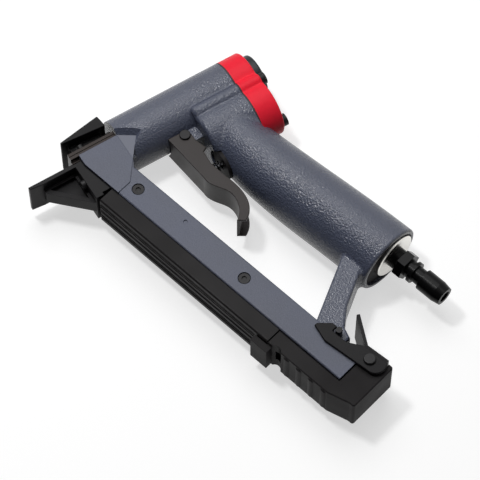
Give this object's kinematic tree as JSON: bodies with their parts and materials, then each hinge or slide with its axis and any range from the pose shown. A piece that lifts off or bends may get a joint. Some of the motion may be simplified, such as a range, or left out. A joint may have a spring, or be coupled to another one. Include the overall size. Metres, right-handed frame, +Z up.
{
  "type": "pneumatic picture frame nailer",
  "caption": "Hand-held air nailer for picture frames: cast body with leaning cylinder, tubular handle and lever trigger over a spring-fed drawer magazine, with a corner fence at the muzzle.",
  "frame": {"origin": "the muzzle: where the driver blade leaves the nose plate, on the drive axis in the tool's middle plane", "axes": "+X along the magazine from nose to rear, +Y from the work towards the cap, +Z up out of the side of the tool as it lies; the drive axis leans 15 degrees from +Y towards +X"},
  "size_m": [0.2138, 0.1406, 0.0374],
  "materials": {
    "cast_paint": "hammertone blue-grey enamel on cast aluminium",
    "rail_paint": "smooth grey enamel",
    "cap_red": "bright red enamel on a cast cap",
    "black_steel": "satin black coated steel",
    "black_plastic": "satin black moulded plastic",
    "trigger_paint": "dark grey-brown coated sheet steel",
    "silver": "turned bare aluminium",
    "black_fitting": "glossy black plated steel",
    "black_screw": "black oxide steel",
    "spring_steel": "drawn spring wire",
    "steel": "ground steel",
    "seal_rubber": "black nitrile rubber",
    "piston_metal": "turned aluminium",
    "brass": "turned brass"
  },
  "bodies": {
    "body": {"body_casting": "cast_paint", "cylinder_sleeve": "steel", "sleeve_rings": "seal_rubber", "bumper": "seal_rubber", "cap_gasket": "seal_rubber", "cap": "cap_red", "cap_screws": "black_screw", "cap_front_screws": "black_screw", "head_valve_spring": "spring_steel", "deflector_screw": "black_screw", "end_plug": "silver", "end_plug_ring": "black_plastic", "air_plug": "black_fitting", "magazine_housing": "rail_paint", "rail_screws": "black_screw", "housing_screws": "black_screw", "magazine_channel": "black_steel", "nose_plate": "black_steel", "nose_screws": "black_screw", "guide_shoe": "black_steel", "shoe_screws": "black_screw", "corner_fence": "black_steel", "fence_screws": "black_screw", "trigger_pin": "black_screw", "valve_bush": "black_plastic", "valve_ring": "seal_rubber", "valve_spring": "spring_steel", "catch_pin": "black_screw"},
    "driver": {"piston": "piston_metal", "piston_ring": "seal_rubber", "driver_blade": "steel"},
    "head_valve": {"head_valve": "black_plastic"},
    "deflector": {"exhaust_deflector": "black_plastic"},
    "trigger": {"trigger": "trigger_paint"},
    "valve_stem": {"valve_stem": "brass"},
    "drawer": {"drawer": "steel", "drawer_end_cap": "black_plastic", "spring_guide_rod": "steel", "pusher_spring": "spring_steel", "latch_pin": "black_screw", "latch_spring": "spring_steel"},
    "pusher": {"pusher": "black_plastic"},
    "latch": {"latch": "black_steel"}
  },
  "joints": [
    {"name": "driver_stroke", "type": "slide", "parent": "body", "child": "driver", "axis": [-0.2588, -0.9659, 0], "range_m": [0, 0.036]},
    {"name": "head_valve_lift", "type": "slide", "parent": "body", "child": "head_valve", "axis": [0.2588, 0.9659, 0], "range_m": [0, 0.0025], "stiffness_N_per_m": 800, "deforming": ["head_valve_spring"]},
    {"name": "deflector_turn", "type": "hinge", "parent": "body", "child": "deflector", "pos_m": [0.02899, 0.10818, 0], "axis": [0.2588, 0.9659, 0], "continuous": true},
    {"name": "trigger_pull", "type": "hinge", "parent": "body", "child": "trigger", "pos_m": [0.0314, 0.0532, 0], "axis": [0, 0, 1], "range_deg": [0, 7], "stiffness_Nm_per_rad": 0.6},
    {"name": "valve_press", "type": "slide", "parent": "body", "child": "valve_stem", "axis": [0.2588, 0.9659, 0], "range_m": [0, 0.0029], "deforming": ["valve_spring"]},
    {"name": "drawer_slide", "type": "slide", "parent": "body", "child": "drawer", "axis": [1, 0, 0], "range_m": [0, 0.11]},
    {"name": "pusher_slide", "type": "slide", "parent": "drawer", "child": "pusher", "axis": [1, 0, 0], "range_m": [0, 0.085], "stiffness_N_per_m": 30, "springref_m": -0.06, "deforming": ["pusher_spring"]},
    {"name": "latch_turn", "type": "hinge", "parent": "drawer", "child": "latch", "pos_m": [0.1914, 0.0209, 0], "axis": [0, 0, 1], "range_deg": [0, 8], "stiffness_Nm_per_rad": 0.3, "deforming": ["latch_spring"]}
  ],
  "couplings": [
    {"joint": "valve_press", "follows": "trigger_pull", "m_per_rad": 0.0226}
  ]
}
